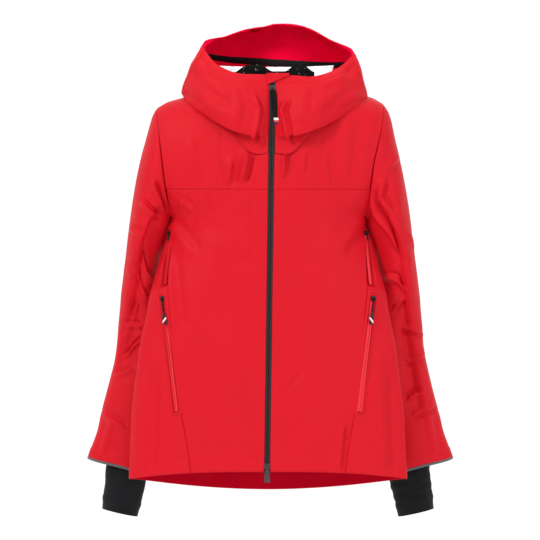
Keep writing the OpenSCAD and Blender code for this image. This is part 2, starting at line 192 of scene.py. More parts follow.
RINGS = np.array([     # outer x and z, inner x and z, centre's y, front and back half depths
    [214, -30, 188, -235, 8, 70, 62], [224, -49, 190, -243, 8, 71, 63], [236, -92, 193, -252, 10, 72, 66],
    [250, -150, 198, -266, 13, 73, 70], [262, -215, 203, -284, 17, 74, 72],
    [274, -300, 207, -316, 28, 74, 74], [284, -368, 206, -368, 46, 70, 70],
    [291, -440, 194, -440, 58, 58, 62], [297, -500, 190, -506, 62, 55, 58],
    [310, -560, 192, -576, 62, 52, 54], [325, -620, 198, -646, 60, 47, 48],
    [334, -665, 204, -696, 58, 43, 43], [341, -702, 208, -738, 56, 40, 40]], float)


def sleeve_surface(k, p, shrink=0.0):
    """Left sleeve: k is the ring from armhole (0) to hem (12), p the angle: 0 outside, 90 degrees front."""
    k, p = np.broadcast_arrays(np.asarray(k, float), np.asarray(p, float))
    r = curve(RINGS, k.ravel()).reshape(k.shape + (7,))
    mid, half = (r[..., 0:2] + r[..., 2:4]) / 2, (r[..., 0:2] - r[..., 2:4]) / 2
    f = 1 - shrink / np.linalg.norm(half, axis=-1)
    q = mid + half * (np.cos(p) * f)[..., None]
    d = np.where(np.sin(p) > 0, r[..., 5], r[..., 6]) - shrink
    return np.stack([q[..., 0], r[..., 4] - d * np.sin(p), q[..., 1]], -1)


# ---------------------------------------------------------------- mesh building
def grid(x, y, z):
    """Grid of points from three arrays that broadcast together."""
    return np.stack(np.broadcast_arrays(x, y, z), -1)


def on_side(g, side):
    """Grid drawn for the wearer's left: side -1 mirrors it, and its columns then run the other way."""
    g = g * [side, 1, 1]
    return g[:, ::side]


def normals_of(g, wrap=False):
    du = np.roll(g, -1, 1) - np.roll(g, 1, 1) if wrap else np.gradient(g, axis=1)
    dv = np.gradient(g, axis=0)
    n = np.cross(du, dv)
    return n / np.maximum(np.linalg.norm(n, axis=-1, keepdims=True), 1e-9)


def lift(g, height, wrap=False):
    """Moves each point of a grid out along its normal."""
    return g + normals_of(g, wrap) * height[..., None]


def mesh_object(name, points, faces, materials, face_slots=None):
    mesh = bpy.data.meshes.new(name)
    mesh.from_pydata([tuple(p) for p in points], [], [tuple(f) for f in faces])
    for m in materials:
        mesh.materials.append(m)
    if face_slots is not None:
        mesh.polygons.foreach_set("material_index", list(face_slots))
    mesh.polygons.foreach_set("use_smooth", [True] * len(mesh.polygons))
    mesh.update()
    obj = bpy.data.objects.new(name, mesh)
    bpy.context.scene.collection.objects.link(obj)
    return obj


def shell_mesh(name, g, thick, materials, wrap=False):
    """Closed thin shell under the outer grid g (millimetres); materials are outer, inner and rim."""
    n, m = g.shape[:2]
    inner = g - thick * normals_of(g, wrap)
    points = np.concatenate([g.reshape(-1, 3), inner.reshape(-1, 3)]) * MM
    k = n * m
    cells = m if wrap else m - 1
    i, j = np.meshgrid(np.arange(n - 1), np.arange(cells), indexing="ij")
    a = (i * m + j).ravel()
    b = (i * m + (j + 1) % m).ravel()
    c, d = b + m, a + m
    outer = np.stack([a, b, c, d], 1)
    back = np.stack([k + a, k + d, k + c, k + b], 1)
    j = np.arange(cells)
    a, b = j, (j + 1) % m
    low = np.stack([a, k + a, k + b, b], 1)
    a, b = a + (n - 1) * m, b + (n - 1) * m
    high = np.stack([a, b, k + b, k + a], 1)
    parts = [outer, back, low, high]
    if not wrap:
        i = np.arange(n - 1)
        a, d = i * m, (i + 1) * m
        parts.append(np.stack([a, d, k + d, k + a], 1))
        a, d = a + m - 1, d + m - 1
        parts.append(np.stack([a, k + a, k + d, d], 1))
    slots = np.concatenate([np.full(len(f), min(q, 2)) for q, f in enumerate(parts)])
    return mesh_object(name, points, np.concatenate(parts), materials, slots)


def fabric(name, g, base, *nodes, cloth=None, slot=None, rides="jacket", elbow=None, thick=SHEET_T,
           wrap=False, held="hung"):
    """One sewn piece, made as a closed shell; base, its unfolded grid, is not used; without cloth, shell."""
    obj = shell_mesh(name, g, thick, [MAT[cloth]] * 3 if cloth else SHELL_CLOTH, wrap)
    if elbow:                                              # a sleeve: its place is baked into its mesh and it rides no body
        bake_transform(obj)
    else:
        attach(obj, rides)
    if nodes:
        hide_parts(*nodes)
    return obj


# ---------------------------------------------------------------- folds and creases
def waves(p, seed, count, length, squash, amount):
    """Smooth irregular field: cosines of about one length, stretched along Z by squash."""
    rng = np.random.default_rng(seed)
    out = np.zeros(p.shape[:-1])
    for _ in range(count):
        angle = rng.uniform(0, 2 * math.pi)
        k = 2 * math.pi / (length * rng.uniform(0.6, 1.7))
        d = np.array([math.cos(angle), 0.6 * math.cos(angle), math.sin(angle) / squash]) * k
        out += np.cos(p @ d + rng.uniform(0, 2 * math.pi))
    return out * amount / math.sqrt(count)


def crease(p, points, width, amount, style="fold"):
    """Height of one crease along a line of (x, z) points: a ridge beside a valley, fading at both ends."""
    pts = np.array(points, float)
    q = p[..., [0, 2]]
    lengths = np.linalg.norm(np.diff(pts, axis=0), axis=1)
    total, done = lengths.sum(), 0.0
    best = np.full(q.shape[:-1], 1e9)
    signed, place = np.zeros_like(best), np.zeros_like(best)
    for a, b, length in zip(pts, pts[1:], lengths):
        d = (b - a) / length
        t = np.clip((q - a) @ d, 0, length)
        off = q - a - t[..., None] * d
        dist = np.linalg.norm(off, axis=-1)
        side = np.sign(off[..., 0] * d[1] - off[..., 1] * d[0])
        nearer = dist < best
        best = np.where(nearer, dist, best)
        signed = np.where(nearer, dist * side, signed)
        place = np.where(nearer, (done + t) / total, place)
        done += length
    fade = smooth(np.minimum(place, 1 - place) * 4 + 0.12)
    if style == "step":
        place = np.clip(0.5 + 0.5 * signed * np.sign(amount) / width, 0, 1)
        return -abs(amount) * fade * smooth(place) * bell(best, 46)
    if style == "valley":
        return -amount * fade * bell(best, width)
    if style == "ridge":
        return amount * fade * bell(best, width)
    return amount * fade * (bell(signed - 0.7 * width, width) - 0.9 * bell(signed + 0.5 * width, 0.7 * width))


def creased(p, creases, widen=1.0, deepen=1.0):
    """Heights of several creases together."""
    return sum(crease(p, points, widen * width, deepen * amount, *style)
               for points, width, amount, *style in creases)


FRONT_CREASES = [      # points (x, z), width, height, and a style other than a fold
    ([(-87, -72), (-88, -180)], 1.5, 2.2, "valley"),
    ([(99, -74), (103, -110), (95, -190)], 1.5, 2.2, "valley"),
    ([(-30, -112), (-33, -124), (-46, -176)], 7, 5), ([(38, -112), (34, -124), (40, -162)], 7, 5),
    ([(-166, -200), (-150, -214), (-138, -226)], 6, 3), ([(-64, -130), (-74, -184)], 8, 4),
    ([(-118, -196), (-112, -236)], 8, 3), ([(-60, -200), (-52, -300)], 12, 2),
    ([(-148, -188), (-163, -226)], 9, 3), ([(-122, -212), (-119, -265)], 10, 2.5),
    ([(-184, -300), (-178, -370), (-166, -460)], 15, 5), ([(-40, -192), (-34, -320)], 12, 3),
    ([(42, -566), (70, -528)], 8, 2.5), ([(147, -625), (137, -724)], 7, 5),
    ([(-188, -238), (-132, -305)], 13, 4), ([(192, -238), (137, -312)], 13, 4),
    ([(-72, -430), (-88, -724)], 24, 4, "ridge"), ([(80, -380), (97, -722)], 26, 4, "ridge"),
    ([(-224, -520), (-230, -735)], 17, 6), ([(222, -520), (230, -735)], 17, 6),
    ([(-35, -470), (-28, -722)], 14, 3, "valley"), ([(40, -600), (34, -722)], 14, 3, "valley"),
    ([(120, -230), (128, -420)], 20, 3, "ridge"), ([(-95, -260), (-120, -400)], 22, 3, "ridge"),
    ([(-32, -112), (-44, -176)], 7, 6), ([(36, -108), (30, -172)], 6, 4),
    ([(73, -112), (70, -160)], 6, 3.5), ([(-62, -120), (-70, -178)], 8, 3),
    ([(112, -118), (120, -178)], 9, 3), ([(-140, -90), (-128, -170)], 12, 3),
    ([(165, -60), (150, -175)], 14, 3)]
BACK_CREASES = [
    ([(-60, -260), (-90, -740)], 30, 6, "ridge"), ([(70, -260), (95, -740)], 30, 6, "ridge"),
    ([(10, -300), (0, -745)], 26, 5, "valley"), ([(-185, -240), (-120, -330)], 14, 5),
    ([(185, -240), (120, -330)], 14, 5), ([(-200, -420), (-190, -735)], 20, 5),
    ([(200, -420), (190, -735)], 20, 5), ([(-150, -60), (-140, -170)], 13, 3),
    ([(150, -60), (140, -170)], 13, 3)]
SLEEVE_CREASES = {
    -1: [([(-196, -190), (-228, -262), (-258, -330), (-272, -440), (-300, -560)], 11, -13, "step"),
         ([(-215, -165), (-206, -200), (-193, -236)], 8, 7), ([(-240, -205), (-203, -243)], 8, 5),
         ([(-236, -300), (-226, -340), (-209, -366)], 8, 7), ([(-266, -330), (-222, -392)], 8, 4),
         ([(-284, -506), (-262, -480), (-240, -468)], 7, 7), ([(-284, -478), (-256, -395)], 9, 4),
         ([(-288, -440), (-240, -446)], 7, 5), ([(-300, -540), (-262, -524)], 8, 4),
         ([(-320, -610), (-270, -640)], 9, 4), ([(-318, -700), (-300, -620)], 10, 4, "ridge"),
         ([(-262, -250), (-236, -272)], 8, 4)],
    1: [([(200, -176), (226, -250), (256, -320), (262, -400), (284, -560), (300, -650)], 11, 13, "step"),
        ([(198, -190), (210, -232), (247, -312)], 9, 8), ([(222, -160), (216, -200), (236, -232)], 9, 5),
        ([(218, -346), (240, -360), (262, -378)], 8, 7), ([(264, -396), (230, -420)], 7, 5),
        ([(296, -470), (250, -452)], 8, 6), ([(300, -500), (262, -520)], 8, 5),
        ([(256, -586), (292, -564)], 7, 6), ([(318, -600), (270, -622)], 9, 4),
        ([(312, -700), (300, -610)], 10, 4, "ridge"), ([(262, -262), (280, -300)], 9, 4),
        ([(246, -120), (226, -150)], 10, 3)]}
HOOD_CREASES = {
    -1: [([(-23, -4), (-14, -36), (-19, -70), (-28, -105)], 5, 7),
         ([(-60, 10), (-48, -30), (-52, -70)], 12, 3), ([(-150, 40), (-110, -10), (-70, -45)], 16, 4),
         ([(-130, 70), (-120, 30), (-80, 0)], 12, 3), ([(-165, 0), (-120, -36)], 10, 3)],
    1: [([(41, -14), (30, -38), (36, -62), (43, -100)], 5, 7),
        ([(80, 6), (72, -30), (76, -64)], 12, 3), ([(165, 30), (130, -14), (90, -45)], 16, 4),
        ([(158, 60), (140, 20), (100, 0)], 12, 3), ([(180, -4), (130, -36)], 10, 3)]}


def torso_height(p, front):
    """Folds of the torso, in millimetres along the outward normal."""
    soft = waves(p, 11, 9, 130, 3.2, 1.0) + waves(p, 12, 9, 46, 2.2, 0.16)
    return soft + creased(p, FRONT_CREASES if front else BACK_CREASES)


def sleeve_height(p, side, front):
    """Folds of a sleeve: its creases in front, and wider ones in the opposite sense behind."""
    soft = waves(p, 31 + side, 10, 90, 1.6, 1.0) + waves(p, 41 + side, 10, 40, 0.8, 0.22)
    mask = smooth(front * 1.5 + 0.2)
    behind = creased(p - [0, 0, -24], SLEEVE_CREASES[side], 1.2, -0.8)
    return soft + creased(p, SLEEVE_CREASES[side], 0.66, 1.25) * mask + behind * (1 - mask)


def hood_height(p, side):
    """Folds of the hood: its creases run over the front half only."""
    soft = waves(p, 61, 10, 80, 1.0, 0.8) + waves(p, 62, 8, 30, 1.0, 0.15)
    return soft + creased(p, HOOD_CREASES[side]) * (p[..., 1] < 0)


def edge_distance(g):
    """Distances in millimetres from each grid point to the low, high, left and right edges."""
    up = np.linalg.norm(np.diff(g, axis=0), axis=-1)
    up = np.concatenate([np.zeros((1, g.shape[1])), np.cumsum(up, 0)])
    along = np.linalg.norm(np.diff(g, axis=1), axis=-1)
    along = np.concatenate([np.zeros((g.shape[0], 1)), np.cumsum(along, 1)], 1)
    return {"low": up, "high": up[-1:] - up, "left": along, "right": along[:, -1:] - along}


SEWN = {               # height at k millimetres from an edge: a groove where panels join, or a turned hem
    "seam": lambda k: -1.0 * bell(k, 1.6) + 0.35 * bell(k - 4.5, 2.5),
    "flat": lambda k: -0.35 * bell(k, 1.2) + 0.15 * bell(k - 4, 2.0),
    "hem": lambda k: 0.7 * smooth((24 - k) / 3) - 0.5 * bell(k - 23, 1.6) - 0.6 * bell(k, 1.2),
    "zip": lambda k: 0.6 * smooth((9 - k) / 2) - 0.45 * bell(k - 9, 1.3),
    "rim": lambda k: 0.6 * smooth((16 - k) / 3) - 0.5 * bell(k - 16, 1.5)}


def finish_grid(g, height, edges, hold, wrap=False):
    """Moves a base grid out by its folds, held still along the edges named in hold, and by its seams."""
    d = edge_distance(g)
    for edge, reach in hold.items():
        height = height * smooth(d[edge] / reach)
    seams = sum(SEWN[kind](d[edge]) for edge, kind in edges.items())
    return lift(g, height + seams, wrap)


# ---------------------------------------------------------------- materials
def node_material(name, color, roughness, build=None, metallic=0.0, sheen=0.0, specular=0.5):
    """Principled material with plain values on the shader and a colour and bump built from noise."""
    mat = bpy.data.materials.new(name)
    mat.use_nodes = True
    tree = mat.node_tree
    shader = tree.nodes["Principled BSDF"]
    shader.inputs["Base Color"].default_value = (*color, 1)
    shader.inputs["Roughness"].default_value = roughness
    shader.inputs["Metallic"].default_value = metallic
    shader.inputs["Sheen Weight"].default_value = sheen
    shader.inputs["Specular IOR Level"].default_value = specular
    if build:
        build(tree, shader, color)
    return mat


def noise(tree, vector, scale, detail=3.0, rough=0.5):
    node = tree.nodes.new("ShaderNodeTexNoise")
    node.inputs["Scale"].default_value = scale
    node.inputs["Detail"].default_value = detail
    node.inputs["Roughness"].default_value = rough
    tree.links.new(vector, node.inputs["Vector"])
    return node.outputs["Fac"]


def ramp(tree, fac, stops):
    node = tree.nodes.new("ShaderNodeValToRGB")
    elements = node.color_ramp.elements
    elements[0].position, elements[0].color = stops[0][0], (*stops[0][1], 1)
    elements[1].position, elements[1].color = stops[-1][0], (*stops[-1][1], 1)
    for place, color in stops[1:-1]:
        elements.new(place).color = (*color, 1)
    tree.links.new(fac, node.inputs["Fac"])
    return node.outputs["Color"]


def bump(tree, shader, heights):
    """Chains bump nodes: heights is a list of (socket, strength, distance)."""
    normal = None
    for socket, strength, distance in heights:
        node = tree.nodes.new("ShaderNodeBump")
        node.inputs["Strength"].default_value = strength
        node.inputs["Distance"].default_value = distance
        tree.links.new(socket, node.inputs["Height"])
        if normal:
            tree.links.new(normal, node.inputs["Normal"])
        normal = node.outputs["Normal"]
    tree.links.new(normal, shader.inputs["Normal"])


def threads(tree, vector, per_metre):
    """Fine weave: two crossed sets of threads multiplied together."""
    sockets = []
    for direction in ("X", "Z"):
        wave = tree.nodes.new("ShaderNodeTexWave")
        wave.wave_type = "BANDS"
        wave.bands_direction = direction
        wave.inputs["Scale"].default_value = per_metre
        wave.inputs["Distortion"].default_value = 0.6
        wave.inputs["Detail"].default_value = 1.0
        tree.links.new(vector, wave.inputs["Vector"])
        sockets.append(wave.outputs["Fac"])
    mix = tree.nodes.new("ShaderNodeMath")
    mix.operation = "MULTIPLY"
    for k, socket in enumerate(sockets):
        tree.links.new(socket, mix.inputs[k])
    return mix.outputs["Value"]


def woven(weave=260.0, weave_bump=0.10, soft_bump=0.10, spread=0.025):
    """Build function for cloth: soft colour variation, cloth grain and fine crumple in the bump."""
    def build(tree, shader, color):
        vector = tree.nodes.new("ShaderNodeTexCoord").outputs["Object"]
        soft = noise(tree, vector, 26, 4)
        dark = tuple(c * (1 - spread) for c in color)
        light = tuple(min(1, c * (1 + spread * 0.6)) for c in color)
        shades = ramp(tree, soft, [(0.3, dark), (0.5, color), (0.7, light)])
        tree.links.new(shades, shader.inputs["Base Color"])
        grain = noise(tree, vector, 900, 2)
        rough = shader.inputs["Roughness"].default_value
        tree.links.new(ramp(tree, grain, [(0.3, (rough - 0.06,) * 3), (0.7, (rough + 0.06,) * 3)]),
                       shader.inputs["Roughness"])
        crumple = noise(tree, vector, 55, 5, 0.55)
        bump(tree, shader, [(crumple, soft_bump, 0.004), (threads(tree, vector, weave), weave_bump, 0.0003),
                            (grain, 0.15, 0.0002)])
    return build


def speckled(amount=0.25, scale=700.0):
    """Build function for moulded plastic and painted metal: fine grain in colour and bump."""
    def build(tree, shader, color):
        vector = tree.nodes.new("ShaderNodeTexCoord").outputs["Object"]
        grain = noise(tree, vector, scale, 3)
        worn = tuple(min(1, c * (1 + amount) + 0.01) for c in color)
        tree.links.new(ramp(tree, grain, [(0.35, color), (0.75, worn)]), shader.inputs["Base Color"])
        bump(tree, shader, [(grain, 0.2, 0.0002)])
    return build


def dotted(tree, shader, color):
    """Build function for the black mesh with small white dots."""
    vector = tree.nodes.new("ShaderNodeTexCoord").outputs["Object"]
    cells = tree.nodes.new("ShaderNodeTexVoronoi")
    cells.inputs["Scale"].default_value = 210
    cells.inputs["Randomness"].default_value = 0.7
    tree.links.new(vector, cells.inputs["Vector"])
    dots = ramp(tree, cells.outputs["Distance"], [(0.10, (0.7, 0.7, 0.7)), (0.15, color)])
    tree.links.new(dots, shader.inputs["Base Color"])
    bump(tree, shader, [(threads(tree, vector, 300), 0.6, 0.0006)])


MAT = {
    "shell": node_material("shell_fabric", (0.585, 0.0045, 0.0142), 0.58, woven(), specular=0.14),
    "inside": node_material("shell_backer", (0.52, 0.001, 0.014), 0.85, woven(spread=0.03), specular=0.03),
    # The brim facing's red is much brighter than the shell's: painted light that stands in for light reaching
    # the shaded inside of the hood.
    "facing": node_material("brim_facing", (0.90, 0.001, 0.042), 0.85, woven(spread=0.03), specular=0.03),
    "welt": node_material("bonded_welt", (0.74, 0.018, 0.032), 0.42, woven(400, 0.05, 0.05, 0.03),
                          specular=0.25),
    "binding": node_material("hem_binding", (0.09, 0.09, 0.094), 0.8, woven(520, 0.5, 0.1, 0.15), sheen=0.3),
    "knit": node_material("gaiter_knit", (0.006, 0.007, 0.008), 0.9, woven(330, 0.6, 0.15, 0.3), sheen=0.12,
                          specular=0.15),
    "lining": node_material("neck_lining_cloth", (0.50, 0.51, 0.525), 0.75, woven(300, 0.2, 0.3, 0.06),
                            sheen=0.2),
    "webbing": node_material("black_webbing", (0.006, 0.006, 0.007), 0.8, woven(420, 0.8, 0.1, 0.3),
                             specular=0.15),
    "rubber": node_material("moulded_rubber", (0.010, 0.010, 0.011), 0.5, speckled(), specular=0.3),
    "white": node_material("flash_white", (0.8, 0.8, 0.8), 0.5, speckled(0.05)),
    "flash_red": node_material("flash_red", (0.7, 0.02, 0.04), 0.5, speckled(0.1)),
    "flash_navy": node_material("flash_navy", (0.01, 0.015, 0.06), 0.5, speckled(0.1)),
    "metal": node_material("gunmetal", (0.06, 0.062, 0.068), 0.38, speckled(0.5, 500), metallic=0.85),
    "zip": node_material("zip_teeth", (0.03, 0.031, 0.032), 0.42, speckled(0.3)),
    "mesh": node_material("dotted_mesh", (0.004, 0.004, 0.0045), 0.85, dotted, specular=0.1),
    "zip_band": node_material("laminated_zip", (0.012, 0.012, 0.013), 0.5, woven(900, 0.2, 0.03, 0.1),
                              specular=0.25)}

SHELL_CLOTH = [MAT["shell"], MAT["inside"], MAT["shell"]]


def soften(g, reach=16):
    """Rounds off the depth of a grid along its columns, so that the cloth falls smoothly past the armpit."""
    y = g[..., 1]
    pad = np.concatenate([2 * y[:1] - y[reach:0:-1], y, 2 * y[-1:] - y[-2:-reach - 2:-1]])
    weights = np.exp(-(np.arange(-reach, reach + 1) / (0.5 * reach)) ** 2)
    out = sum(w * pad[k:k + len(y)] for k, w in enumerate(weights / weights.sum()))
    return np.stack([g[..., 0], out, g[..., 2]], -1)


def settle(g, sleeve_piece=False):
    """Shapes the shoulders: higher beside the neck, and the left one sits higher and wider."""
    x, y, z = g[..., 0], g[..., 1], g[..., 2]
    m = np.abs(x)
    near = smooth((m - 95) / 55) * smooth((z + 160) / 110)
    left = smooth(x / 60)
    dz = near * smooth((224 - m) / 36) * lerp(8.0, 10.0, left) + near * 7.0 * left
    high = smooth((z + 150) / 80)
    dx = 9.0 * smooth((x - 150) / 60) * high
    if sleeve_piece:
        dx = dx + 9.0 * smooth((x - 205) / 40) * (1 - high)
        dx = dx + np.sign(x) * 9.0 * smooth((-640 - z) / 70) * smooth((m - 285) / 45)
        dx = dx - np.sign(x) * 8.0 * bell(z + 262, 44) * smooth((226 - m) / 22)
    return g + np.stack([dx, 0 * y, dz], -1)


# ---------------------------------------------------------------- fabric pieces
def angles(side, low_a, high_a, columns):
    """Angles across a panel from its inner edge low_a to its outer edge high_a, ordered left to right."""
    u = np.linspace(0, 1, columns)[None, ::side]
    return side * lerp(low_a[:, None], high_a[:, None], u)


def inner_outer(side):
    """Names of a grid's edges towards the zip and away from it."""
    return ("left", "right") if side > 0 else ("right", "left")


def zip_edge(side, z, half):
    """Angle of a panel's edge beside the zip at height z, where the torso's half width is half."""
    return np.arcsin((zip_x(z) * side + ZIP_BAND_HALF) / half)


# Rows of the front and back panels: how far up to the armpit they are, and how far from there to the yoke.
PANEL_R = np.concatenate([np.linspace(0, 1, 150)[:-1], np.full(24, 1.0)])
PANEL_UP = np.concatenate([np.zeros(149), np.linspace(0, 1, 24)])
YOKE_ROWS = 1 - (1 - np.linspace(0, 1, 80)) ** 1.6         # closer together towards the neck
QUARTER = math.radians(90)
JUST_BEHIND = math.radians(90.01)                          # body() takes exactly 90 degrees as front


def panel_grid(a):
    """Unfolded front or back panel with the angles a, from the hem to the yoke's seam."""
    r = PANEL_R[:, None] + PANEL_UP[:, None] * (r_at_height(a, YOKE_Z) - 1)
    return soften(body(a, r))


def front_panel(side, label):
    inner, outer = inner_outer(side)
    seam_a = pocket_a(PANEL_R)
    z = body(0.0, PANEL_R)[..., 2] + PANEL_UP * (YOKE_Z - ARMPIT_Z)
    a = angles(side, zip_edge(side, z, np.where(PANEL_UP > 0, CHEST_HALF_W, half_width(z))), seam_a, 90)
    reach = smooth((np.abs(a) / seam_a[:, None] - 0.86) / 0.14) * (PANEL_UP > 0)[:, None]
    a = side * lerp(np.abs(a), QUARTER, reach ** 2)        # above the armpit the panel goes on to the armhole
    base = pocket_ease(panel_grid(a), side)
    edges = {"low": "hem", "high": "flat", inner: "zip", outer: "seam"}
    g = finish_grid(base, torso_height(base, True), edges, {inner: 14})
    return fabric(f"front_panel_{label}_cloth", settle(g), base, f"front_panel_{label}")


def front_yoke(side, label):
    inner, outer = inner_outer(side)
    edge = zip_edge(side, YOKE_Z + YOKE_ROWS * 70, lerp(CHEST_HALF_W, SHOULDER_HALF_W, 0.3))
    a = angles(side, edge, np.full(80, QUARTER), 90)
    base = body(a, lerp(r_at_height(a, YOKE_Z), front_neck_r(a), YOKE_ROWS[:, None]))
    edges = {"low": "flat", "high": "seam", inner: "zip", outer: "seam"}
    g = finish_grid(base, torso_height(base, True), edges, {inner: 12, "high": 10, outer: 9})
    return fabric(f"front_yoke_{label}_cloth", settle(g), base, f"front_yoke_{label}")


def side_panel(side, label):
    r = np.linspace(0, 1, 150)
    a = angles(side, pocket_a(r), back_seam_a(r), 110)
    base = pocket_ease(soften(body(a, r[:, None])), side)
    front = smooth(np.cos(a) * 6 + 0.5)
    height = torso_height(base, True) * front + torso_height(base, False) * (1 - front)
    g = settle(finish_grid(base, height, {"low": "hem", "left": "seam", "right": "seam"}, {"high": 12}))
    return fabric(f"side_panel_{label}_cloth", clear_vent(g, side), base, f"side_panel_{label}")


def back_panel():
    edge = back_seam_a(PANEL_R)[:, None]
    u = np.linspace(0, 1, 150)[None, :]
    reach = (edge - JUST_BEHIND) * (PANEL_UP > 0)[:, None]
    a = lerp(edge, 2 * math.pi - edge, u) + reach * (smooth(1 - (1 - u) * 9) - smooth(1 - u * 9))
    base = panel_grid(a)
    edges = {"low": "hem", "high": "flat", "left": "seam", "right": "seam"}
    g = finish_grid(base, torso_height(base, False), edges, {})
    return fabric("back_panel_cloth", settle(g), base, "back_panel")


def back_yoke():
    a = np.linspace(JUST_BEHIND, 2 * math.pi - JUST_BEHIND, 150)[None, :]
    base = body(a, lerp(r_at_height(a, YOKE_Z), back_neck_r(a), YOKE_ROWS[:, None]))
    edges = {"low": "flat", "high": "seam", "left": "seam", "right": "seam"}
    g = finish_grid(base, torso_height(base, False), edges, {"high": 10, "left": 9, "right": 9})
    return fabric("back_yoke_cloth", settle(g), base, "back_yoke")


EASE_LEN = 228.0       # how far down the pocket zip the cloth is brought up to its tape


def pocket_ease(base, side):
    """Brings the cloth beside the straight pocket zip up to the zip's tape."""
    label = "left" if side > 0 else "right"
    swing = JOINTS[f"pocket_pull_swing_{label}"]
    up = np.array(JOINTS[f"pocket_slide_{label}"]["axis"])
    out = np.cross(up, np.array(swing["axis"]))
    out = out if out[1] < 0 else -out
    top = np.array(swing["pos_m"]) / MM - out * 6.2 + up * 9
    down = (top - base) @ up
    off = base - top + np.clip(down, 0, EASE_LEN)[..., None] * up
    depth = off @ out
    dist = np.linalg.norm(off - depth[..., None] * out, axis=-1)
    ends = bell(np.maximum(0, np.abs(down - EASE_LEN / 2) - EASE_LEN / 2), 18)
    return base - (depth * bell(dist, 22) * ends)[..., None] * out


CHEEK_END = 4.6        # station where a cheek meets the crown; the crown ends at the back, at 8


def hood_cheek(side, label):
    inner, outer = inner_outer(side)
    v = np.linspace(5, 0, 130)[:, None]
    u = np.linspace(0, 1, 110)[None, ::side] ** 1.15
    base = hood(side, CHEEK_END * u, v)
    base[..., 0] += side * (ZIP_BAND_HALF + 0.9 * smooth(v - 2)) * (1 - smooth(u * 9))
    edges = {"low": "seam", "high": "rim", inner: "zip", outer: "seam"}
    g = finish_grid(base, hood_height(base, side), edges, {inner: 12, "low": 8})
    return fabric(f"hood_cheek_{label}_cloth", g, base, f"hood_cheek_{label}")


def hood_crown():
    v = np.linspace(5, 0, 130)[:, None]
    u = np.linspace(-1, 1, 200)[None, :] * (8 - CHEEK_END)
    base = np.where((u > 0)[..., None], hood(-1, 8 - np.abs(u), v), hood(1, 8 - np.abs(u), v))
    x, y, z = base[..., 0], base[..., 1], base[..., 2]
    height = hood_height(base, 1) * smooth(x / 40 + 0.5) + hood_height(base, -1) * smooth(0.5 - x / 40)
    for seam_x in (-46, 46):
        height = height - 1.1 * bell(x - 6 - seam_x * (1 + 0.004 * z), 1.6) * (y > 40)
    edges = {"low": "seam", "high": "rim", "left": "seam", "right": "seam"}
    g = finish_grid(base, height, edges, {"low": 8})
    return fabric("hood_crown_cloth", g, base, "hood_crown")


def elbow_fold(p, k, side):
    """Small cross folds that bunch at the elbow, stronger on the inner half."""
    rise = 1.6 * np.sin((k - 5.2) * 7.5 + 0.8 * np.sin(p[..., 0] / 13)) * bell(k - 6.5, 1.3)
    return rise * (0.5 + 0.5 * smooth(0.5 - side * (p[..., 0] - side * 250) / 60))


def round_angles(columns):
    """Angles round a sleeve or gaiter, as one row."""
    return -np.linspace(0, 2 * math.pi, columns, endpoint=False)[None, :]


def sleeve(side, label):
    """Whole sleeve from the armhole to the hem in one piece, in place of the upper sleeve and the forearm."""
    k = np.linspace(12.0, 0.0, 300)[:, None]
    p = round_angles(190)
    base = on_side(sleeve_surface(k, p), side)
    p = p[:, ::side]
    height = sleeve_height(base, side, np.sin(p)) + elbow_fold(base, k, side)
    inner_edge = bell(np.arccos(np.clip(-np.cos(p), -1, 1)), 0.55) * smooth((k - 0.2) / 3)
    outer_edge = bell(np.arccos(np.clip(np.cos(p), -1, 1)), 0.6) * smooth((k - 0.2) / 3)
    height = height * (1 - 0.7 * inner_edge) * (1 - 0.8 * outer_edge)
    g = settle(finish_grid(base, height, {"low": "hem", "high": "seam"}, {"high": 14}, wrap=True), True)
    seam = bell(edge_distance(g)["low"] - 96, 1.4)         # seam across the forearm above the hem
    return fabric(f"sleeve_{label}_cloth", lift(g, -0.9 * seam, True), base, f"sleeve_upper_{label}",
                  f"sleeve_forearm_{label}", elbow=(label, side), wrap=True)


# ---------------------------------------------------------------- inside the hood and neck
def band_height(x):
    """Height of the black band round the inside of the hood: nearly level, a little lower on the left."""
    return 71.0 - 0.055 * (x - 10)


INSIDE_GAP = 1.1       # how far the strips inside the hood stand off it at least


def hood_inside(side, s, steps):
    """Grid inside the hood: steps is a list of (place, inset), place 0 at the rim and 1 at the band."""
    v = np.linspace(0, 3, 301)
    line = hood(side, s[None, :], v[:, None])
    below = line[..., 2] < band_height(line[..., 0])
    v_band = v[np.argmax(below, axis=0)]
    rows = []
    for place, inset in steps:
        p = hood(side, s, np.clip(v_band * place + 0.02, 0, 5))
        q = np.array([10.0, -10.0]) - p[:, :2]
        q = q / np.linalg.norm(q, axis=1, keepdims=True)
        rows.append(np.concatenate([p[:, :2] + q * (inset + INSIDE_GAP), p[:, 2:]], 1))
    return np.array(rows)


def inside_strip(name, node, first, steps, cloth, amount):
    """Strip round the inside of the hood between station `first` on each side; steps run from low to high."""
    u = np.linspace(-1, 1, 200) * (8 - first)
    left, right = (hood_inside(side, 8 - np.abs(u), steps) for side in (1, -1))
    base = np.where((u > 0)[None, :, None], right, left)   # seen from inside, left to right is +X to -X
    return fabric(name, lift(base, waves(base, 71, 8, 60, 0.7, amount)), base, node, cloth=cloth, thick=0.6)


def neck_lining():
    a = np.radians(np.linspace(78, -78, 150))[None, :]
    k = np.linspace(0, 1, 36)[:, None]
    flare = 16 * smooth((np.abs(a) - 0.8) / 0.5) * k
    base = grid(10 + (104 + flare) * np.sin(a), 4 + 56 * np.cos(a), lerp(-4, 56, k))
    height = waves(base, 75, 9, 34, 1.2, 1.0) - 2.5 * bell(k - 0.5, 0.3)
    return fabric("neck_lining_cloth", lift(base, height), base, "neck_lining", cloth="lining")


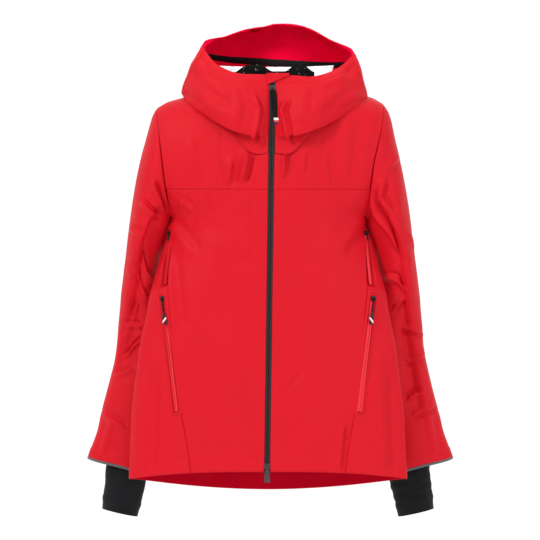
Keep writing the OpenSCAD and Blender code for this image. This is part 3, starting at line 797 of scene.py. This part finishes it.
def chin_guard():
    """Soft black guard inside the collar: two humps beside the zip joined by a low strip."""
    x = np.linspace(-64, 88, 130)[None, :]
    k = np.linspace(0, 1, 50)[:, None]
    humps = smooth((x + 64) / 24) * smooth((10 - x) / 24) + smooth((x - 32) / 20) * smooth((88 - x) / 22)
    base = grid(x, -70 + 14 * ((x - 12) / 68) ** 2 + 5 * smooth(k), lerp(-60, 38.5 + 12.5 * humps, k))
    height = waves(base, 78, 9, 30, 1.0, 0.8) + 2.0 * humps * bell(k - 0.9, 0.12)
    return fabric("chin_guard_mesh", lift(base, height), base, "chin_guard", cloth="mesh")


def zip_garage():
    """Flap of the collar that covers the top end of the zip: its free edge runs diagonally."""
    u = np.linspace(0, 1, 40)[None, :]
    k = np.linspace(0, 1, 26)[:, None]
    low = lerp(11.5, 28.5, smooth(u) * 0.25 + u * 0.75)
    base = grid(lerp(-2.5, 40, u), -FRONT_DEPTH - 4.6 + 1.6 * u ** 2 + 1.2 * smooth(1 - u) * (1 - k),
                lerp(low, 33, k))
    height = 0.5 * bell(edge_distance(base)["low"] - 1.2, 1.3)
    return fabric("zip_garage_flap", lift(base, height), base, "zip_garage")


def hanger_loop():
    """Loop of ribbon behind the neck."""
    t = np.linspace(math.pi + 0.30, -0.30, 90)[:, None]
    w = np.linspace(0, 1, 9)[None, :]
    g = grid(20 * np.cos(t), lerp(47.8, 58.0, w), -25 - 20 * np.sin(t))
    return fabric("hanger_loop_ribbon", g, g, "hanger_loop", cloth="webbing", thick=1.2)


# ---------------------------------------------------------------- the front zip
ZIP_ORIGIN = np.array(lower) / MM + [0, 4.4, 0]
ZIP_LEN = float(np.linalg.norm(np.array(upper) - np.array(lower))) / MM
# The rows are the zip's own x, y and z.
ZIP_TURN = np.array([[ZIP_DIR[2], 0, -ZIP_DIR[0]], [0, 1, 0], [ZIP_DIR[0], 0, ZIP_DIR[2]]])


def at_zip(g, side=1):
    """Points drawn along the closed zip, from the lower slider up; side mirrors them across it."""
    return ZIP_ORIGIN + on_side(g, side) @ ZIP_TURN


def zip_tape(side, label):
    x = np.array([0.42, 0.7, 2.4, 4.2, 5.4, 6.2, 7.2, 9.6])
    y = np.array([-0.45, -0.58, -0.58, -0.5, -0.1, 0.8, 2.0, 2.6])
    g = at_zip(grid(x, y, np.linspace(-13, ZIP_LEN + 9, 200)[:, None]), side)
    return fabric(f"zip_tape_{label}_band", g, g, f"zip_tape_{label}", cloth="zip_band", slot="zip",
                  thick=0.25)


def wind_flap():
    x = np.linspace(-20, 20, 22)[None, :]
    base = at_zip(grid(x, 6.0 + 0.02 * np.abs(x), np.linspace(-1, 699, 200)[:, None]))
    height = waves(base, 81, 8, 60, 2.0, 0.5) - 0.6 * bell(np.abs(x) - 18, 1.0)
    return fabric("wind_flap_cloth", lift(base, height), base, "wind_flap", cloth="inside", slot="facing",
                  thick=0.8)


# ---------------------------------------------------------------- small zips of the pockets and vents
def turned(angles_deg):
    """Rotation matrix for turns about X, then Y, then Z."""
    a, b, c = (math.radians(v) for v in angles_deg)
    rx = np.array([[1, 0, 0], [0, math.cos(a), -math.sin(a)], [0, math.sin(a), math.cos(a)]])
    ry = np.array([[math.cos(b), 0, math.sin(b)], [0, 1, 0], [-math.sin(b), 0, math.cos(b)]])
    rz = np.array([[math.cos(c), -math.sin(c), 0], [math.sin(c), math.cos(c), 0], [0, 0, 1]])
    return rz @ ry @ rx


POCKET_TOP, POCKET_TURN, POCKET_LEN = np.array([200.5, -64.5, -383]), turned((-1.93, 7.88, 16)), 222.0
VENT_TOP, VENT_TURN, VENT_LEN = np.array([187, -22.1, -262]), turned((-16.2, 8.9, 44)), 106.0


def at_small_zip(g, side, top, turn):
    """Grid drawn down a left zip from its top; side mirrors it to the wearer's right."""
    return on_side(top + g @ turn.T, side)


def small_zip(side, label, kind, top, turn, length, start, half, cloth):
    """Laminated tape over a small zip: two bands with a slot between them for the slider's neck."""
    z = np.linspace(-length - 3, start, 140)[:, None]
    w = lerp(half[1], half[0], np.clip((z + length) / (length + start), 0, 1))
    edge = np.array([0, 0, 0, 1, 1, 1, 1.0])
    extra = np.array([0.34, 0.5, 0.9, -0.7, 0, 1.1, 2.6])
    depth = np.array([-0.55, -0.57, -0.56, -0.5, -0.25, 0.5, 1.6])
    g = grid(edge * w + extra, depth, z)
    for flip, place, nodes in ((1, "outer", [f"{kind}_zip_{label}"]), (-1, "inner", [])):
        q = at_small_zip((g * [flip, 1, 1])[:, ::flip], side, top, turn)
        fabric(f"{kind}_zip_{label}_{place}_band", q, q, *nodes, cloth=cloth, slot="welt", thick=0.25)


def clear_vent(g, side):
    """Keeps the cloth of the side panel behind the vent's slider along the whole zip."""
    q = (g * [side, 1, 1] - VENT_TOP) @ VENT_TURN
    x, y, z = q[..., 0], q[..., 1], q[..., 2]
    near = smooth((11.5 - np.abs(x)) / 5) * smooth((z + VENT_LEN + 10) / 8) * smooth((10 - z) / 8)
    q[..., 1] += near * np.maximum(0, 5.8 - y)
    return (VENT_TOP + q @ VENT_TURN.T) * [side, 1, 1]


def loop_path(half, low, high, long_steps=110, short_steps=14):
    """Outline of a rectangle as x and z: up the right side, across, down the left side, across."""
    up = np.linspace(low, high, long_steps, endpoint=False)
    across = np.linspace(half, -half, short_steps, endpoint=False)
    x = np.concatenate([np.full(long_steps, half), across, np.full(long_steps, -half), -across])
    z = np.concatenate([up, np.full(short_steps, high), low + high - up, np.full(short_steps, low)])
    return x, z


def pocket_welt(side, label):
    """Bonded frame round the pocket zip: a narrow lip of shell film down both sides and across the ends."""
    rows = []
    for w in np.linspace(0, 1, 9):
        x, z = loop_path(lerp(11.2, 5.6, w), -POCKET_LEN - 10 + 5.6 * w, 8 - 5.6 * w)
        rows.append(grid(x, 2.6 - 2.6 * math.sin(w * math.pi * 0.62), z))
    g = at_small_zip(np.array(rows), side, POCKET_TOP, POCKET_TURN)
    return fabric(f"pocket_welt_{label}_lip", g, g, f"pocket_welt_{label}", slot="welt", thick=0.5, wrap=True)


def pocket_bag(side, label):
    z = np.linspace(-638, -392, 90)[:, None]
    x = lerp(105, lerp(166, 186, (z + 640) / 248), np.linspace(0, 1, 40)[None, :])
    base = on_side(grid(x, -59, z), side)
    return fabric(f"pocket_bag_{label}_cloth", lift(base, waves(base, 85 + side, 9, 60, 1.4, 0.7)), base,
                  f"pocket_bag_{label}", cloth="lining", thick=0.7)


# ---------------------------------------------------------------- sliders' pulls
def tube(name, rings, materials, slots=None):
    """Closed solid through rings of points, in millimetres; slots(ring, place) picks each face's material."""
    rings = np.array(rings, float)
    n, m = rings.shape[:2]
    cells = [(i, j, (j + 1) % m) for i in range(n - 1) for j in range(m)]
    faces = [(i * m + j, i * m + k, (i + 1) * m + k, (i + 1) * m + j) for i, j, k in cells]
    where = [(i + 0.5, rings[i:i + 2, [j, k]].reshape(-1, 3).mean(0)) for i, j, k in cells]
    faces += [tuple(range(m))[::-1], tuple((n - 1) * m + j for j in range(m))]
    where += [(0, rings[0].mean(0)), (n - 1, rings[-1].mean(0))]
    picked = [slots(*w) for w in where] if slots else None
    obj = mesh_object(name, rings.reshape(-1, 3) * MM, faces, materials, picked)
    if sum(f.area * f.normal.dot(f.center) for f in obj.data.polygons) < 0:
        obj.data.flip_normals()
    return obj


def rounded(centre, half_w, half_d, count, power):
    """Ring of a rounded bar that runs along local Z."""
    t = np.linspace(0, 2 * math.pi, count, endpoint=False)
    c, s = np.cos(t), np.sin(t)
    return grid(centre[0] + half_w * np.sign(c) * np.abs(c) ** (2 / power),
                centre[1] + half_d * np.sign(s) * np.abs(s) ** (2 / power), centre[2])


def rope_rings(path, radius):
    """Rings of a round cord along a path of local points."""
    path = np.array(path, float)
    d = np.gradient(path, axis=0)
    d /= np.linalg.norm(d, axis=1, keepdims=True)
    side = np.cross(d, [1.0, 0.0, 0.02])
    side /= np.linalg.norm(side, axis=1, keepdims=True)
    t = np.linspace(0, 2 * math.pi, 14, endpoint=False)[None, :, None]
    return path[:, None] + radius * (side[:, None] * np.cos(t) + np.cross(d, side)[:, None] * np.sin(t))


PIN_Y = -4.4           # how far in front of the zip a slider's pin is


def eye_path(radius):
    """Nearly closed ring round a slider's pin, at the origin of the pull."""
    return [(0, PIN_Y - radius * math.cos(a), radius * math.sin(a)) for a in np.linspace(0, 2 * math.pi, 40)]


def hang_on(body_name, objects):
    for obj in objects:
        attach(obj, body_name)


def webbing_pull():
    """Webbing on the upper slider: an eye round the pin, then a flat tab that hangs a little to one side."""
    def place(rings):
        return [at_zip(ring + [0, 0, ZIP_LEN]) for ring in rings]

    rows = []
    for z in np.concatenate([np.linspace(-2.4, -6, 8), np.linspace(-7, -57, 110)]):
        t = np.clip((-z - 3) / 54, 0, 1)
        half = lerp(1.7, lerp(6.0, 4.6, t), smooth((-z - 2) / 5))
        ribs = 0.10 * math.sin(z * 3.4) + 0.14 * bell(math.fmod(-z, 13.0) - 6.5, 0.8)
        centre = (1.2 * smooth((-z - 2) / 6) + 7.5 * t ** 1.2, PIN_Y, z)
        rows.append(rounded(centre, half + 0.4 * ribs, 0.95 + ribs, 60, 5))
    webbing = tube("upper_pull_webbing", place(rows), [MAT["webbing"]])
    eye = tube("upper_pull_eye", place(rope_rings(eye_path(1.55), 0.42)), [MAT["webbing"]])
    hang_on("upper_pull", [webbing, eye])
    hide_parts("upper_pull")
    rows = [rounded((8.4 + 0.14 * (-z - 58), -4.5, z), w, d, 60, 5) for z, w, d in (
        (-56.2, 4.4, 0.9), (-56.8, 4.9, 1.3), (-58.5, 5.0, 1.45), (-60.0, 5.0, 1.45), (-60.3, 4.9, 1.35),
        (-60.6, 5.0, 1.45), (-63.6, 5.0, 1.45), (-63.9, 4.9, 1.35), (-64.2, 5.0, 1.45), (-67.2, 4.9, 1.4),
        (-67.9, 4.3, 0.9))]
    tip = tube("upper_pull_tip_blocks", place(rows), [MAT["white"], MAT["flash_red"], MAT["flash_navy"]],
               lambda i, c: 0 if i < 4.6 else 1 if i < 7.6 else 2)
    hang_on("upper_pull", [tip])
    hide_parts("upper_pull_tip")


def pocket_pull(side, label):
    """Cord loop round the slider's pin, twisted, and a moulded grip with a slanting flash."""
    origin = POCKET_TOP + np.array([0, 0, -9.0]) @ POCKET_TURN.T

    def place(rings):
        return [(origin + ring @ POCKET_TURN.T) * [side, 1, 1] for ring in rings]

    t = np.linspace(0, 1, 60)
    path = grid(1.05 * np.cos(t * 9), PIN_Y - 0.55 * np.sin(t * 9) - 0.9 * t * (1 - t), -1.9 - 27.0 * t)
    other = np.stack([-path[:, 0], 2 * PIN_Y - path[:, 1], path[:, 2]], -1)
    ropes = [("cord_a", path, 0.85), ("cord_b", other, 0.85), ("eye", eye_path(1.5), 0.5)]
    pieces = [tube(f"pocket_{kind}_{label}", place(rope_rings(line, radius)), [MAT["webbing"]])
              for kind, line, radius in ropes]
    rows = []
    for z in np.linspace(-27, -50, 80):
        k = (-z - 27) / 23
        end = math.sqrt(max(0.02, 1 - max(0, (k - 0.86) / 0.14) ** 2)) * math.sqrt(min(1, 0.25 + k * 12))
        rows.append(rounded((0, -4.5, z), lerp(2.3, 4.4, smooth(k * 1.4)) * end,
                            lerp(1.2, 1.9, smooth(k * 1.5)) * end, 64, 2.8))

    def flash(ring, centre):
        """Material of a face: a white stripe and a red one that slant across the grip."""
        x, _, z = (centre * [side, 1, 1] - origin) @ POCKET_TURN
        across = -z - 41.0 - 0.95 * x
        return 1 if abs(across) < 1.7 and -49 < z < -32 else 2 if 1.9 < across < 3.9 and z > -49 else 0

    grip = tube(f"pocket_grip_{label}", place(rows), [MAT["rubber"], MAT["white"], MAT["flash_red"]], flash)
    hang_on(f"pocket_pull_{label}", pieces + [grip])
    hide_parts(f"pocket_pull_{label}")


# ---------------------------------------------------------------- sleeve ends
def sleeve_binding(side, label):
    """Grey binding folded over the sleeve's hem."""
    p = round_angles(190)
    rows = [sleeve_surface(k, p, shrink)[0] for k, shrink in (
        (11.88, -0.25), (11.93, -0.5), (12.0, -0.6), (12.07, -0.3), (12.1, 0.5), (12.07, 1.5), (12.0, 1.9),
        (11.9, 1.9), (11.8, 1.7))]
    g = settle(on_side(np.array(rows), side), True)
    return fabric(f"sleeve_binding_{label}_tape", g, g, f"sleeve_binding_{label}", cloth="binding",
                  rides=f"forearm_{label}", thick=0.35, wrap=True, held="folded")


def wrist_gaiter(side, label):
    """Ribbed knit tube that narrows to the wrist and ends in a turned edge."""
    k = np.linspace(-0.09, 1, 190)[:, None]
    p = round_angles(300)
    w = lerp(36, 43, k)
    c = lerp(np.array([285, 42, -798]), np.array([269, 50, -700]), k[..., None])
    bulge = 0.9 * bell(k - 0.12, 0.06) - 0.6 * bell(k - 0.2, 0.03)
    rib = 0.16 * np.cos(p * 66) * smooth((k - 0.02) / 0.03)
    r = 1 + (bulge + rib) / 40
    g = on_side(c + grid(w * np.cos(p) * 0.97 * r, -24 * np.sin(p) * r, w * np.cos(p) * 0.22 * r), side)
    g = lift(g, waves(g, 91 + side, 9, 40, 0.6, 0.9) * smooth(k / 0.15), True)
    return fabric(f"wrist_gaiter_{label}_knit", g, g, f"wrist_gaiter_{label}", cloth="knit",
                  rides=f"gaiter_{label}", thick=1.4, wrap=True, held="stretched")


POCKET_BAND = {"left": (2.2, 4.4), "right": (1.2, 1.9)}   # half widths at the top and the bottom
VENT_CLOTH = {"left": "welt", "right": "shell"}
for side, label in ((1, "left"), (-1, "right")):
    front_panel(side, label)
    front_yoke(side, label)
    side_panel(side, label)
    hood_cheek(side, label)
    sleeve(side, label)
    sleeve_binding(side, label)
    wrist_gaiter(side, label)
    zip_tape(side, label)
    pocket_welt(side, label)
    pocket_bag(side, label)
    small_zip(side, label, "pocket", POCKET_TOP, POCKET_TURN, POCKET_LEN, -14, POCKET_BAND[label], "welt")
    small_zip(side, label, "vent", VENT_TOP, VENT_TURN, VENT_LEN, -10, (1.2, 1.6), VENT_CLOTH[label])
    pocket_pull(side, label)
back_panel()
back_yoke()
hood_crown()
brim_steps = [(1.30 * (1 - t), 5.5 * smooth(3.2 * (1 - t))) for t in np.linspace(0, 1, 60)]
band_steps = [(1.055, 6.4), (1.045, 7.4), (1.0, 7.8), (0.955, 7.4), (0.945, 6.4)]
inside_strip("brim_facing_cloth", "hood_brim_facing", 4.75, brim_steps, "facing", 0.7)
inside_strip("brim_band_tape", "hood_band", 4.8, band_steps, "webbing", 0.25)
neck_lining()
chin_guard()
zip_garage()
hanger_loop()
wind_flap()
webbing_pull()

RIGID = {
    "zip": ["zip_teeth_left", "zip_teeth_right"],
    "metal": ["zip_stops", "zip_bottom_pins", "upper_slider", "lower_slider", "lower_pull"],
    "rubber": ["pocket_slider_left", "pocket_slider_right", "vent_slider_left", "vent_slider_right"]}
for material, nodes in RIGID.items():
    for node in nodes:
        frame["nodes"][node].data.materials.clear()
        frame["nodes"][node].data.materials.append(MAT[material])


# ---------------------------------------------------------------- stage, light and camera
def area_light(name, place, target, size, power, spread=180):
    """Square lamp at place that points at target; the camera doesn't see it."""
    data = bpy.data.lights.new(name, "AREA")
    data.energy, data.size, data.spread = power, size, math.radians(spread)
    obj = bpy.data.objects.new(name, data)
    obj.location = place
    obj.visible_camera = False
    obj.rotation_euler = (Vector(target) - Vector(place)).to_track_quat("-Z", "Y").to_euler()
    bpy.context.scene.collection.objects.link(obj)


WHITE = node_material("studio_white", (0.97, 0.97, 0.97), 0.9, specular=0.1)
FLOOR_RADIUS, FLOOR_Z, FLOOR_SIDES = 2.6, -1.15, 96
turns = [2 * math.pi * k / FLOOR_SIDES for k in range(FLOOR_SIDES)]
ring = [(FLOOR_RADIUS * math.cos(t), FLOOR_RADIUS * math.sin(t), FLOOR_Z) for t in turns]
mesh_object("floor", ring, [tuple(range(FLOOR_SIDES))], [WHITE])
area_light("key", (-2.2, -2.6, 1.9), (0, 0, -0.35), 0.9, 73)
area_light("fill", (2.4, -2.8, 0.4), (0, 0, -0.4), 2.0, 31)
area_light("top", (0.2, 0.2, 2.6), (0, 0, -0.2), 1.6, 14)
area_light("back", (0.4, 3.0, 1.2), (0, 0, -0.3), 2.0, 14)
area_light("hood", (0.5, -1.9, 1.5), (0.02, 0.06, 0.1), 0.7, 7)
area_light("hood_inside", (0.02, -0.2, 0.42), (0.02, 0.11, 0.09), 0.12, 0.55, 46)

world = bpy.data.worlds.new("studio")
world.use_nodes = True
# The room is white behind the jacket and dimmer in front of it, so that the key light shapes the folds.
sky = world.node_tree
place = sky.nodes.new("ShaderNodeTexCoord")
split = sky.nodes.new("ShaderNodeSeparateXYZ")
sky.links.new(place.outputs["Generated"], split.inputs["Vector"])
room = ramp(sky, split.outputs["Y"], [(0.0, (0.6, 0.6, 0.6)), (0.25, (1.0, 1.0, 1.0))])
sky.links.new(room, sky.nodes["Background"].inputs["Color"])
sky.nodes["Background"].inputs["Strength"].default_value = 1.05
bpy.context.scene.world = world
bpy.context.scene.view_settings.view_transform = "Standard"

VIEW_WIDTH = 1.026     # metres that the picture spans at the front of the jacket, 0.05 before the origin
CAMERA_DISTANCE, SENSOR = 5.0, 36
camera_data = bpy.data.cameras.new("camera")
camera_data.sensor_width = SENSOR
camera_data.lens = SENSOR * (CAMERA_DISTANCE - 0.05) / VIEW_WIDTH
camera = bpy.data.objects.new("camera", camera_data)
camera.location = (0.004, -CAMERA_DISTANCE, -0.338)
camera.rotation_euler = (math.pi / 2, 0, 0)
bpy.context.scene.collection.objects.link(camera)
bpy.context.scene.camera = camera
